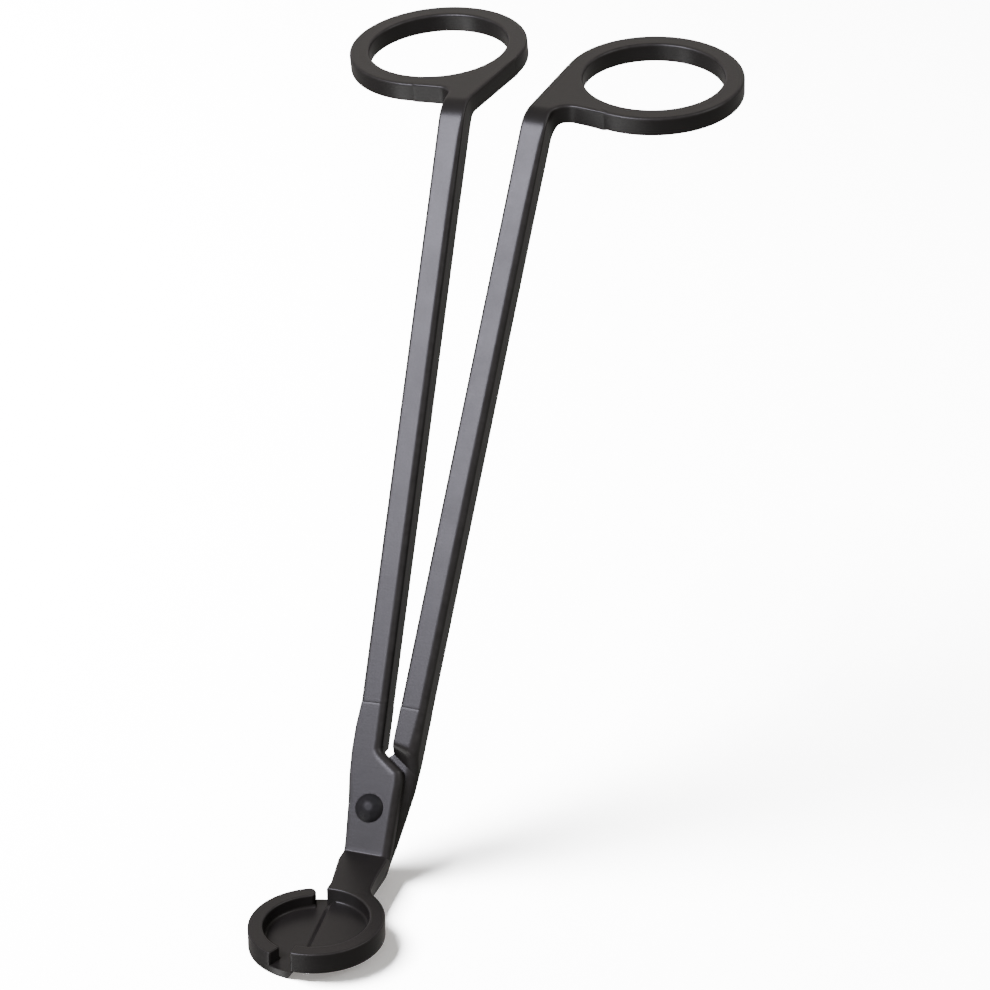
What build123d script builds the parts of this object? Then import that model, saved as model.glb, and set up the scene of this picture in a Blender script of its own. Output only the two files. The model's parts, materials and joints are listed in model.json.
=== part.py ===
from build123d import *
import math
import os

# Wick trimmer: two crossing arms on one rivet. The front arm carries the upper half of a round
# tray, the back arm the lower half, and each half's floor ends in a cutting edge. The shafts
# rise at a steep angle and the finger rings are bent back, nearly level with the tray.
# World frame: the tray lies flat on Z = 0, the shafts rise towards +Y, and the origin is on the
# lower half's flat underside. Pieces are drawn about the tray's own axis, then moved sideways by
# ORIGIN_SHIFT. The trimmer is drawn slightly open, as it stands on a table.

# ---- driving dimensions, millimetres and degrees ----
TRAY_R = 11.5
RIM_W = 2.6
WALL_H = 3.7
LOWER_FLOOR = 1.3
UPPER_FLOOR = 1.2
BLADE_GAP = 0.15
BEVEL_W = 1.3
EDGE_LAND = 0.15
RIM_END = 111.5

PIVOT_Y = 27.4
PIVOT_Z = 10.2
SHAFT_TILT = 55.0
BAR_W = 4.6
BAR_T = 4.8
LAP_GAP = 0.06
FRONT_LEAN = 3.26
BACK_LEAN = -1.17
FRONT_BAR_X = -1.7
BACK_BAR_X = 4.0
WELD_S = 18.0
LAP_FOOT = 9.5
LAP_TOP = 12.1
LAP_SKEW = 26.7

BEND_S = 123.8
BEND_R = 6.0
BEND_INNER_R = 1.5
RING_TILT = 6.0
RING_OD = 32.2
RING_ID = 25.0
RING_T = 3.5
FRONT_RING = (-11.5, 22.5)
BACK_RING = (19.4, 19.0)

UPPER_NECK_T = 2.3
LOWER_NECK_T = 1.9
NECK_STEP_Y = 12.4
NECK_FLARE_R = 4.0
PLATE_DROP = 9.5

RIVET_R = 1.5
RIVET_HEAD_R = 2.5
RIVET_HEAD_H = 1.3
RIVET_TAIL_R = 2.3
RIVET_TAIL_H = 0.8
RUNNING_FIT = 0.05
HEAD_GAP = 0.04

EDGE_ROUND = 0.5
TOUCH = 0.01
ORIGIN_SHIFT = 5.0

# ---- derived values ----
LIFT = LOWER_FLOOR + BLADE_GAP
UPPER_TOP = LIFT + WALL_H
RIM_R = TRAY_R - RIM_W
HALF_W = BAR_W / 2
HALF_T = BAR_T / 2
LAP = LAP_GAP / 2
RING_R = RING_OD / 2
BORE_R = RING_ID / 2
TURN = math.radians(SHAFT_TILT - RING_TILT)
TILT = math.radians(SHAFT_TILT)
WIDE = 60.0
BAR_END = BEND_S - 8.0

UP = Vector(0, math.cos(TILT), math.sin(TILT))
NORMAL = Vector(0, -math.sin(TILT), math.cos(TILT))
PIVOT = Vector(0, PIVOT_Y, PIVOT_Z)
PIVOT_AXIS = Axis(PIVOT, NORMAL)
FACE_PLANE = Plane(origin=PIVOT, x_dir=(1, 0, 0), z_dir=NORMAL)
SIDE_PLANE = Plane(origin=PIVOT, x_dir=UP, z_dir=(1, 0, 0))
RING_PLANE = (Plane(origin=PIVOT + UP * BEND_S + NORMAL * HALF_T, x_dir=(1, 0, 0), z_dir=NORMAL)
              .rotated((RING_TILT - SHAFT_TILT, 0, 0)))


# ---- small helpers ----
def prism(face, plane, low, high):
    """A flat face placed on a plane and extruded between two heights above it."""
    return extrude(plane.offset(low) * face, high - low)


def polygon(*points):
    return make_face(Polyline(*points, close=True))


def round_corner(face, near, radius):
    """Round the corner of a face that lies nearest to a point."""
    corner = face.vertices().sort_by_distance((near[0], near[1], 0))[0]
    return fillet(corner, radius)


def across(face):
    """A side view in (distance up the shaft, height off the lap plane), extruded right across."""
    return extrude(SIDE_PLANE * face, WIDE, both=True)


def side_point(y, z):
    """A world (y, z) point in the side view's own coordinates."""
    local = SIDE_PLANE.to_local_coords(Vector(0, y, z))
    return (local.X, local.Y)


def height_at(level, w):
    """How far up the shaft the plane at height w off the lap plane reaches a world height."""
    return (level - PIVOT_Z - w * math.cos(TILT)) / math.sin(TILT)


# ---- handles: each is one piece of steel, kept as a straight shaft and a ring head ----
def head_profile():
    """Side view of the top bend and the ring's plate."""
    reach = 2 * RING_OD
    top = (BEND_S + reach * math.cos(TURN), HALF_T - reach * math.sin(TURN))
    low = (top[0] - RING_T * math.sin(TURN), top[1] - RING_T * math.cos(TURN))
    run = (BAR_T - RING_T * math.cos(TURN)) / math.sin(TURN)
    inner = (BEND_S - RING_T * math.sin(TURN) + run * math.cos(TURN), -HALF_T)
    corner = (BEND_S, HALF_T)
    face = polygon((BAR_END, HALF_T), corner, top, low, inner, (BAR_END, -HALF_T))
    face = round_corner(face, corner, BEND_R)
    return round_corner(face, inner, BEND_INNER_R)


def ring_face(centre, web, corners):
    """Plan of a finger ring and the web that joins it to its bar, about the ring's centre."""
    face = Circle(RING_R) + polygon(*web)
    for near, radius in corners:
        face = round_corner(face, near, radius)
    return Pos(*centre) * (face - Circle(BORE_R))


def front_ring_face():
    left = FRONT_BAR_X - HALF_W - FRONT_RING[0]
    right = left + BAR_W
    tangent = math.radians(-10.0)
    touch = (RING_R * math.cos(tangent), RING_R * math.sin(tangent))
    near = -RING_R - 0.3
    web = [(left, -2 * RING_R), (right, -2 * RING_R), (right, -19.5), touch,
           (0, touch[1]), (0, -RING_R), (left, near)]
    return ring_face(FRONT_RING, web, [((left, near), 2.2), ((right, -19.5), 15.0)])


def back_ring_face():
    left = BACK_BAR_X - HALF_W - BACK_RING[0]
    right = left + BAR_W
    touch = (-RING_R, 0)
    near = -14.3
    leave = (-4.0, -math.sqrt(RING_R ** 2 - 4.0 ** 2))
    web = [(left, -2 * RING_R), (right, -2 * RING_R), (right, near), leave, (-4.0, 0), touch,
           (left, -19.0)]
    return ring_face(BACK_RING, web, [((right, near), 3.2), ((left, -19.0), 20.0)])


def handle(bar_x, ring_outline, angle):
    """A handle's shaft and its ring head, which meet square across the bar below the bend."""
    bar = prism(Pos(bar_x, (WELD_S + BAR_END) / 2) * Rectangle(BAR_W, BAR_END - WELD_S),
                FACE_PLANE, -HALF_T, HALF_T)
    head = across(head_profile()) & prism(ring_outline, RING_PLANE, -WIDE / 2, WIDE / 2)
    whole = round_handle((bar + head).clean())
    below = prism(Pos(0, BAR_END - WIDE) * Rectangle(2 * WIDE, 2 * WIDE), FACE_PLANE, -WIDE, WIDE)
    return [part.rotate(PIVOT_AXIS, angle) for part in (whole & below, whole - below)]


def round_handle(whole):
    """Break the edges around a handle's upper face, which the fingers and palm meet."""
    chosen = []
    for edge in whole.edges():
        on_bar = FACE_PLANE.to_local_coords(edge.center())
        on_ring = RING_PLANE.to_local_coords(edge.center())
        bar_edge = abs(on_bar.Z - HALF_T) < TOUCH and edge.length > BEND_S / 2
        ring_edge = abs(on_ring.Z) < TOUCH
        bend_edge = edge.geom_type == GeomType.CIRCLE and abs(on_ring.Z) < EDGE_ROUND
        if bar_edge or ring_edge or bend_edge:
            chosen.append(edge)
    return fillet(chosen, EDGE_ROUND)


# ---- half-lap ----
def lap_block(bar_x, side):
    """The full-thickness end of a bar beyond its half-lap's sloping facet.

    side is +1 for the back arm, whose block rises above the lap, and -1 for the front arm.
    """
    skew = math.radians(LAP_SKEW)
    away = Vector(side * math.sin(skew), math.cos(skew))
    along = Vector(1, 0, 0) * away.X + UP * away.Y
    plane = Plane(origin=PIVOT, x_dir=along, z_dir=along.cross(NORMAL))
    low = -side * LAP
    facet = polygon((LAP_FOOT, low), (LAP_TOP, side * HALF_T), (WIDE, side * HALF_T), (WIDE, low))
    beyond = extrude(plane * facet, WIDE, both=True)
    column = prism(Pos(bar_x, WELD_S / 2) * Rectangle(BAR_W, WELD_S), FACE_PLANE, -HALF_T, HALF_T)
    return beyond & column


# ---- blades: pivot plate, neck and half a tray in one ----
def plate_side(near, far, level_near, level_far, outer_r, inner_r):
    """Side view of a plate that comes down the shaft and bends level towards the tray.

    near and far are its heights off the lap plane on the tray's side and the other side,
    level_near and level_far the world heights that those two faces level out at.
    """
    near_corner = (height_at(level_near, near), near)
    far_corner = (height_at(level_far, far), far)
    face = polygon((WELD_S, near), near_corner, side_point(-TRAY_R, level_near),
                   side_point(-TRAY_R, level_far), far_corner, (WELD_S, far))
    face = round_corner(face, near_corner, inner_r)
    return round_corner(face, far_corner, outer_r)


def front_plate_face():
    left = FRONT_BAR_X - HALF_W
    right = left + BAR_W
    edge = ThreePointArc((left, WELD_S), (-4.6, 9.5), (-4.0, 1.0))
    rest = Polyline((-4.0, 1.0), (-3.6, -6.0), (-3.6, -14.0), (4.3, -14.0), (4.75, -1.0),
                    (5.0, 6.6), (right, 10.0), (right, WELD_S), (left, WELD_S))
    face = make_face(edge + rest)
    face = round_corner(face, (right, 10.0), 1.5)
    return round_corner(face, (5.0, 6.6), 1.5)


def back_plate_face():
    left = BACK_BAR_X - HALF_W
    right = left + BAR_W
    edge = ThreePointArc((right, 9.0), (5.55, -0.5), (3.9, -11.0))
    rest = Polyline((3.9, -11.0), (3.5, -14.0), (-2.6, -14.0), (-3.4, -3.0), (-3.6, 6.4),
                    (left, 10.0), (left, WELD_S), (right, WELD_S), (right, 9.0))
    face = make_face(edge + rest)
    face = round_corner(face, (left, 10.0), 1.5)
    return round_corner(face, (-3.6, 6.4), 1.5)


def floor(cut, low, thickness, bevel_side):
    """Half of the tray's round floor, ground to an edge along its cut."""
    blank = prism(Circle(TRAY_R) & polygon(*cut), Plane.XY, low, low + thickness)
    level = low + thickness if bevel_side > 0 else low
    line = blank.edges().filter_by_position(Axis.Z, level - 0.01, level + 0.01)
    line = line.filter_by(GeomType.LINE).sort_by(Edge.length)[-1]
    face = blank.faces().filter_by_position(Axis.Z, level - 0.01, level + 0.01)[0]
    return chamfer(line, BEVEL_W, thickness - EDGE_LAND, reference=face)


def hole(radius):
    return prism(Circle(radius), FACE_PLANE, -WIDE, WIDE)


def above_bend():
    """Everything above the line across the shaft at which the plates give way to the necks."""
    sheet = Pos(0, WIDE - PLATE_DROP) * Rectangle(2 * WIDE, 2 * WIDE)
    return prism(sheet, FACE_PLANE, -WIDE, WIDE)


def upper_blade():
    slab = across(plate_side(HALF_T, LAP, UPPER_TOP, UPPER_TOP - UPPER_NECK_T, 1.5, 1.0))
    plate = prism(front_plate_face(), FACE_PLANE, -WIDE, WIDE).rotate(PIVOT_AXIS, FRONT_LEAN)
    neck = Circle(TRAY_R) + polygon((-1.6, 8.0), (-1.6, 11.0), (-3.15, 18.5), (-3.15, 24.0),
                                    (4.85, 24.0), (5.2, 14.5), (6.0, 8.0))
    neck = round_corner(neck, (5.9, 9.9), NECK_FLARE_R)
    right = polygon((-1.6, 0), (-1.6, 11.0), (-3.15, 18.5), (-3.15, 24.0), (12, 24.0),
                    (12, -12), (-0.2, -12), (-0.2, 0))
    shape = (neck & right) - Circle(RIM_R)
    level = slab & prism(shape, Plane.XY, -1, WIDE)
    rim = prism((Circle(TRAY_R) - Circle(RIM_R)) & right, Plane.XY, LIFT, UPPER_TOP)
    cut = [(-1.6, 12.0), (-1.5, 7.4), (0.55, -11.4), (0.62, -12.0), (12, -12), (12, 12)]
    blade = (slab & plate & above_bend()) + level + rim + floor(cut, LIFT, UPPER_FLOOR, 1)
    blade += lap_block(FRONT_BAR_X, -1).rotate(PIVOT_AXIS, FRONT_LEAN)
    return (blade - hole(RIVET_R + RUNNING_FIT)).clean()


def lower_blade():
    slab = across(plate_side(-LAP, -HALF_T, LOWER_NECK_T, 0, 2.5, 0.2))
    plate = prism(back_plate_face(), FACE_PLANE, -WIDE, WIDE).rotate(PIVOT_AXIS, BACK_LEAN)
    neck = polygon((-1.6, NECK_STEP_Y), (-2.6, 21.0), (-2.6, 26.0), (3.9, 26.0),
                   (4.0, NECK_STEP_Y))
    level = slab & prism(neck, Plane.XY, -1, WIDE)
    tab = prism(polygon((-1.6, 8.0), (-1.6, 13.0), (4.0, 13.0), (2.2, 8.0)), Plane.XY, 0,
                LOWER_FLOOR)
    end = math.radians(RIM_END)
    reach = 2 * TRAY_R
    tip = (reach * math.cos(end), reach * math.sin(end))
    sector = polygon((0, 0), tip, (-reach, reach), (-reach, -reach), (tip[0], -tip[1]))
    rim_face = (Circle(TRAY_R) - Circle(RIM_R)) & sector
    rim = prism(rim_face, Plane.XY, 0, WALL_H)
    cut = [(2.45, 12.0), (2.0, 7.4), (0.15, -11.4), (0.09, -12.0), (-12, -12), (-12, 12)]
    blade = (slab & plate & above_bend()) + level + tab + rim + floor(cut, 0, LOWER_FLOOR, -1)
    blade += lap_block(BACK_BAR_X, 1).rotate(PIVOT_AXIS, BACK_LEAN)
    return (blade - hole(RIVET_R)).clean()


# ---- rivet ----
def cap(radius, height):
    """A low dome standing on the plane's origin."""
    ball = (radius ** 2 + height ** 2) / (2 * height)
    block = Pos(0, 0, height / 2) * Box(4 * radius, 4 * radius, height)
    return (Pos(0, 0, height - ball) * Sphere(ball)) & block


def rivet():
    shank_top = HALF_T + HEAD_GAP
    shank = Pos(0, 0, (shank_top - HALF_T) / 2) * Cylinder(RIVET_R, shank_top + HALF_T)
    head = Pos(0, 0, shank_top) * cap(RIVET_HEAD_R, RIVET_HEAD_H)
    tail = Pos(0, 0, -HALF_T) * (Rot(180, 0, 0) * cap(RIVET_TAIL_R, RIVET_TAIL_H))
    return FACE_PLANE * (shank + head + tail)


def main():
    front_shaft, front_ring = handle(FRONT_BAR_X, front_ring_face(), FRONT_LEAN)
    back_shaft, back_ring = handle(BACK_BAR_X, back_ring_face(), BACK_LEAN)
    nodes = {
        "front_shaft": front_shaft,
        "front_ring": front_ring,
        "back_shaft": back_shaft,
        "back_ring": back_ring,
        "upper_blade": upper_blade(),
        "lower_blade": lower_blade(),
        "rivet": rivet(),
    }
    os.makedirs("parts", exist_ok=True)
    for name, shape in nodes.items():
        export_step(Pos(ORIGIN_SHIFT, 0, 0) * shape, f"parts/{name}.step")


main()
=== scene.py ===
"""Wick trimmer: finished surfaces, coating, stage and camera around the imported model."""

import json
import math

import bmesh
import bpy
import numpy as np
from bpy.props import FloatProperty, FloatVectorProperty, PointerProperty
from mathutils import Matrix, Vector

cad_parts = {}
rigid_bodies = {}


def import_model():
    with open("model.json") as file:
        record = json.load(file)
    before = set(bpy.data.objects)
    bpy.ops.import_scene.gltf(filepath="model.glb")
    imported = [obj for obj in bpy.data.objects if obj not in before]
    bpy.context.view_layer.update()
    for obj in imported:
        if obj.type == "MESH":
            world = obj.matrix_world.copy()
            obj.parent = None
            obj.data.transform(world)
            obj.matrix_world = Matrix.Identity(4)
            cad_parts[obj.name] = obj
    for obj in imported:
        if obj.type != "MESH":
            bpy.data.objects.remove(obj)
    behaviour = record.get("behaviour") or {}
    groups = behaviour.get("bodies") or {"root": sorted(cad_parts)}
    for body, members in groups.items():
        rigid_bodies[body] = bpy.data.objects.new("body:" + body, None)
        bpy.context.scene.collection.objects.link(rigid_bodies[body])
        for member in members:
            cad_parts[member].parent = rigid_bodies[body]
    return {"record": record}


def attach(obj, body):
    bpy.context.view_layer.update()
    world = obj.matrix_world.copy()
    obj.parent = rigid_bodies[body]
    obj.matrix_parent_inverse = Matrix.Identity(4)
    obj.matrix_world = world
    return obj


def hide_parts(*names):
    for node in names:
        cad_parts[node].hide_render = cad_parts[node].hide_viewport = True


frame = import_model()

bl_info = {
    "name": "Wick Trimmer",
    "version": (1, 0, 0),
    "blender": (4, 5, 0),
    "location": "View3D > Sidebar > Trimmer",
    "description": "Builds a coated wick trimmer with its stage and camera",
    "category": "Add Mesh",
}

MM = 0.001
JOINT = frame["record"]["behaviour"]["joints"][0]
MOUNTS = {mount["name"]: mount for mount in frame["record"]["mounts"]}
PIVOT = np.array(JOINT["pos_m"])
NORMAL = np.array(JOINT["axis"])
SIDE = np.array((1.0, 0.0, 0.0))
UP = np.cross(NORMAL, SIDE)
TILT = math.radians(55.0)
TRAY = np.array((PIVOT[0], 0.0, 0.0))
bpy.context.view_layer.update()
COATED = "_coated"

# A ring's mount lies this deep under its upper face. Faces that would coincide are kept apart
# by the overlap.
MOUNT_DEPTH = 2.0 * MM
OVERLAP = 0.01 * MM

# A rounded corner's swing, the points across a section's flat faces, and row counts.
CORNER = np.linspace(0.0, math.pi / 2, 6)
ACROSS = np.linspace(0.0, 1.0, 13)[1:-1]
STUB_ROWS = 14
FACET_ROWS = 12
BEND_ROWS = 9

# The width of the weld's ground line, and the level from the rivet up the shaft below which
# rows run square to the neck's bend.
GROOVE = 0.1 * MM
SQUARE_LEVEL = -4.5 * MM


# ---- what a user would change ----
def length(name, millimetres, note):
    """A length property, given in millimetres and kept in metres."""
    return FloatProperty(name=name, description=note, default=millimetres * MM, unit="LENGTH")


def angle(name, degrees, note):
    """An angle property, given in degrees and kept in radians."""
    return FloatProperty(name=name, description=note, default=math.radians(degrees),
                         unit="ROTATION")


def colour(name, rgb, note):
    """A colour property."""
    return FloatVectorProperty(name=name, description=note, default=rgb, size=3,
                               subtype="COLOR", min=0.0, max=1.0)


def amount(name, value, note):
    """A plain number."""
    return FloatProperty(name=name, description=note, default=value, min=0.0)


class TrimmerSizes(bpy.types.PropertyGroup):
    """Sizes of the trimmer's pieces."""

    tray_radius: length("Tray radius", 11.5, "Outer radius of the round tray")
    rim_width: length("Rim width", 2.6, "Radial width of the tray's rim")
    wall_height: length("Wall height", 3.7, "Height of each half's wall")
    lower_floor: length("Lower floor", 1.3, "Thickness of the lower half's floor")
    upper_floor: length("Upper floor", 1.2, "Thickness of the upper half's floor")
    blade_gap: length("Blade gap", 0.15, "Gap between the two floors")
    bevel_width: length("Bevel width", 1.1, "Width of the ground cutting bevels")
    edge_land: length("Edge land", 0.15, "Height left upright at each cutting edge")
    cove: length("Cove", 0.5, "Radius of the fillet between floor and wall")
    bar_width: length("Shaft width", 4.6, "Width of both shafts")
    bar_thickness: length("Shaft thickness", 4.8, "Thickness of both shafts")
    front_bar: length("Front shaft", -1.7, "Sideways place of the front shaft at the rivet")
    back_bar: length("Back shaft", 4.0, "Sideways place of the back shaft at the rivet")
    weld: length("Weld", 18.0, "Height of the weld above the rivet along the shaft")
    weld_groove: length("Weld groove", 0.012, "Depth of the ground weld's line")
    lap_gap: length("Lap gap", 0.06, "Gap between the two pivot plates")
    lap_skew: angle("Lap skew", 33.0, "Turn of the half-laps' feet across the shafts")
    back_lap_foot: length("Back lap foot", 9.2, "Where the back arm's facet meets its lap face")
    back_lap_top: length("Back lap top", 12.0, "Where the back arm's facet meets its shaft's face")
    back_lap_skew: angle("Back lap skew", 7.0, "Turn of the back facet's top edge")
    front_lap_foot: length("Front lap foot", 7.8, "Where the front arm's facet meets its lap face")
    front_lap_top: length("Front lap top", 8.9, "Where the front facet meets its shaft's face")
    front_lap_skew: angle("Front lap skew", 33.0, "Turn of the front facet's top edge")
    lap_round: amount("Lap rounding", 0.4, "Share of the facet taken by its rounded top edge")
    bend_height: length("Top bend", 123.8, "Height of the top bend along the shaft")
    bend_radius: length("Bend radius", 6.0, "Outer radius of the top bend")
    bend_inside: length("Bend inside", 1.5, "Inner radius of the top bend")
    ring_tilt: angle("Ring tilt", 6.0, "Rise of the ring plates towards the back")
    ring_radius: length("Ring radius", 16.1, "Outer radius of the finger rings")
    ring_thickness: length("Ring thickness", 3.5, "Thickness of the finger rings")
    front_lean: angle("Front lean", 3.26, "Turn of the front arm about the rivet at rest")
    back_lean: angle("Back lean", -1.17, "Turn of the back arm about the rivet at rest")
    upper_neck: length("Upper neck", 2.3, "Thickness of the upper half's neck")
    lower_neck: length("Lower neck", 1.9, "Thickness of the lower half's neck")
    neck_step: length("Neck step", 12.4, "Where the lower neck steps down to the tray")
    rivet_head: length("Rivet head", 2.5, "Radius of the rivet's domed head")
    rivet_rise: length("Head rise", 1.3, "Height of the rivet's domed head")
    rivet_tail: length("Rivet tail", 2.3, "Radius of the rivet's peened tail")
    tail_rise: length("Tail rise", 0.8, "Height of the rivet's peened tail")
    rivet_shank: length("Rivet shank", 1.5, "Radius of the rivet's shank")
    head_gap: length("Head gap", 0.04, "Gap under the rivet's head")
    arm_edge: length("Arm edges", 0.5, "Rounding of the arms' long edges")
    worn_edge: length("Polished edges", 1.3, "Rounding of the shafts' polished right edges")
    back_share: amount("Back share", 1.6, "Back plate's edge rounding, as a share of its shaft's")
    bend_share: amount("Bend share", 0.7, "Top bend's edge rounding, as a share of its shaft's")
    neck_share: amount("Neck share", 0.25, "Necks' edge rounding, as a share of the shafts'")
    plate_edge: length("Plate edges", 0.3, "Rounding of the pivot plates' and necks' edges")
    rim_edge: length("Rim edges", 0.3, "Rounding of the rim's edges")


class TrimmerFinish(bpy.types.PropertyGroup):
    """Colours and finishes."""

    coat: colour("Coating", (0.0125, 0.0112, 0.0103), "Colour of the black coating")
    # Paler edge colour: partly worn coating, partly a painted highlight along rounded edges and
    # bevel ridges.
    worn: colour("Edge wear and highlight", (0.035, 0.033, 0.031), "Colour of the coating along its edges")
    rivet: colour("Rivet", (0.012, 0.0115, 0.012), "Colour of the coated rivet")
    floor: colour("Floor", (0.88, 0.88, 0.89), "Colour of the studio floor")
    roughness: amount("Roughness", 0.33, "Roughness of the coating")
    gloss: amount("Index", 1.33, "Index of refraction of the coating")
    grain: amount("Grain", 4200.0, "Grains of the coating in a metre")
    key: amount("Key light", 15.0, "Strength of the large soft light in front")
    key_tint: colour("Key tint", (0.88, 0.86, 1.0), "Colour of the large soft light")
    fill: amount("Fill light", 2.5, "Strength of the soft light on the right")
    back: amount("Back light", 0.7, "Strength of the wide soft light behind")
    back_tint: colour("Back tint", (1.0, 0.92, 0.85), "Colour of the light behind")
    side: amount("Side light", 230.0, "Strength of the light that casts the shadow")
    glint: amount("Left card", 0.4, "Strength of the low card that glints inside the rings")
    card: amount("Front card", 1.2, "Strength of the low card whose reflection lights the facets")
    glow: amount("Floor glow", 0.25, "Light that the studio floor gives off itself")
    sky: amount("Room light", 0.36, "Strength of the even light from all round")


class TrimmerView(bpy.types.PropertyGroup):
    """The camera's place."""

    azimuth: angle("Azimuth", 19.4, "Turn of the camera to the object's right")
    elevation: angle("Elevation", 26.9, "Height of the camera above level")
    roll: angle("Roll", -0.56, "Roll of the camera about its own line of sight")
    distance: length("Distance", 700.0, "Distance from the camera to its target")
    lens: amount("Lens", 148.8, "Focal length in millimetres on a 36 mm sensor")
    target: FloatVectorProperty(name="Target", description="What the camera looks at",
                                default=(0.0175, 0.0562, 0.0587), size=3,
                                subtype="TRANSLATION", unit="LENGTH")


# ---- places ----
def arm_place(x, s, w):
    """World points from sideways x, distance s up the shaft and height w off the lap plane."""
    x, s, w = np.broadcast_arrays(x, s, w)
    return PIVOT + x[..., None] * SIDE + s[..., None] * UP + w[..., None] * NORMAL


def turned(x, s, lean):
    """The pair (x, s) turned about the rivet by an angle."""
    return x * math.cos(lean) - s * math.sin(lean), x * math.sin(lean) + s * math.cos(lean)


def top_turn(sizes):
    """How far a handle turns at its top bend, from the shaft to the ring's plane."""
    return TILT - sizes.ring_tilt


def tray_place(x, y, z):
    """World points from x, y, z about the tray's own axis."""
    x, y, z = np.broadcast_arrays(x, y, z)
    return TRAY + np.stack((x, y, z), axis=-1)


# ---- lines in a plane ----
def rounded_line(points, radii):
    """A polyline whose inner corners are replaced by arcs, each tangent to its two runs.

    An arc of radius r leaves each run r * tan(half the turn) before the corner.
    """
    points = np.array(points, dtype=float) * MM
    parts = [points[:1]]
    for before, corner, after, radius in zip(points, points[1:], points[2:], radii):
        if not radius:
            parts.append(corner[None])
            continue
        into = (corner - before) / np.linalg.norm(corner - before)
        out = (after - corner) / np.linalg.norm(after - corner)
        turn = math.atan2(into[0] * out[1] - into[1] * out[0], into @ out)
        radius *= MM
        start = corner - into * radius * math.tan(abs(turn) / 2)
        across = np.array((-into[1], into[0])) * math.copysign(radius, turn)
        swing = np.linspace(0.0, abs(turn), 9)[:, None]
        parts.append(start + across * (1 - np.cos(swing)) + into * radius * np.sin(swing))
    parts.append(points[-1:])
    return np.concatenate(parts)


def spaced(line, count):
    """Points at equal distances along a polyline."""
    steps = np.linalg.norm(np.diff(line, axis=0), axis=1)
    run = np.concatenate(([0.0], np.cumsum(steps)))
    at = np.linspace(0.0, run[-1], count)
    return np.stack([np.interp(at, run, line[:, k]) for k in range(line.shape[1])], axis=1)


def crossing(line, turn, level):
    """Where a straight row crosses an outline.

    The row is the line on which cos(turn) * s - sin(turn) * x equals the level.
    """
    value = math.cos(turn) * line[:, 1] - math.sin(turn) * line[:, 0]
    order = np.argsort(value)
    return [np.interp(level, value[order], line[order, k]) for k in (0, 1)]


def eased_ends(count, radius):
    """(distance from the end, inset) of rows that round a tube's end by a quarter circle."""
    swing = np.linspace(0.0, math.pi / 2, count)
    return radius * (1 - np.cos(swing)), radius * (1 - np.sin(swing))


# ---- meshes ----
def edge_spread(edge, across):
    """How much wider a rounding is along a row than square to the edge: 1 / sin of their angle."""
    along = np.gradient(edge, axis=0)
    along /= np.linalg.norm(along, axis=1, keepdims=True) + 1e-12
    return 1 / np.clip(np.linalg.norm(np.cross(across, along), axis=1), 0.45, 1.0)


def bar_loops(top_left, top_right, low_left, low_right, top_round, low_round,
              inset=0.0, bow=None):
    """Closed loops of a bar given by its four long edges, with every edge rounded.

    Each loop is a unit square (u across, v down) with a quarter circle at each corner, laid
    bilinearly between the row's four corners. top_round gives the left and right radii above. An
    inset shrinks the loop from all sides, and bow moves its middle by 4 * u * (1 - u) times a
    vector. Returns the points and the wear of each, highest in the middle of each rounded
    corner: the coating is painted paler there, partly as worn coating, partly as a painted
    highlight.
    """
    across = top_right - top_left
    width = np.linalg.norm(across, axis=1, keepdims=True)
    across = across / width
    height = np.linalg.norm(low_left - top_left, axis=1, keepdims=True)
    left = edge_spread(top_left, across)[:, None] / width
    right = edge_spread(top_right, across)[:, None] / width
    rise, fall = 1 - np.sin(CORNER), 1 - np.cos(CORNER)
    high_left, high_right = (np.broadcast_to(r, width.shape) for r in top_round)
    flat = high_left * left + (1 - high_left * left - high_right * right) * ACROSS
    u = np.concatenate((high_left * left * fall, flat, 1 - high_right * right * rise,
                        1 - low_round * right * fall, flat[:, ::-1], low_round * left * rise),
                       axis=1)
    v = np.concatenate((high_left / height * rise, 0 * flat, high_right / height * fall,
                        1 - low_round / height * rise, 1 + 0 * flat,
                        1 - low_round / height * fall), axis=1)
    inset = np.broadcast_to(inset, width.shape[:1])[:, None]
    u = inset / width + u * (1 - 2 * inset / width)
    v = inset / height + v * (1 - 2 * inset / height)
    u, v = u[..., None], v[..., None]
    points = ((1 - v) * ((1 - u) * top_left[:, None] + u * top_right[:, None])
              + v * ((1 - u) * low_left[:, None] + u * low_right[:, None]))
    if bow is not None:
        points = points + 4 * u * (1 - u) * bow[:, None]
    # wear peaks mid-corner: edges painted paler, partly worn coating, partly a painted highlight.
    corner, plain = np.sin(2 * CORNER), 0 * ACROSS
    wear = np.concatenate((corner, plain, corner, corner, plain, corner)) * np.ones(width.shape)
    return points, wear


def cap_strips(loop):
    """Faces that close a loop by strips across it, from each point to the one opposite."""
    half = len(loop) // 2
    ahead, opposite = loop[:half], loop[::-1][:half]
    faces = np.stack((ahead[:-1], ahead[1:], opposite[1:], opposite[:-1]), axis=-1).tolist()
    if len(loop) % 2:
        faces.append(loop[half - 1:half + 2].tolist())
    return faces


def new_object(name, data):
    """A new object in the scene."""
    thing = bpy.data.objects.new(name, data)
    bpy.context.collection.objects.link(thing)
    return thing


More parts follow.
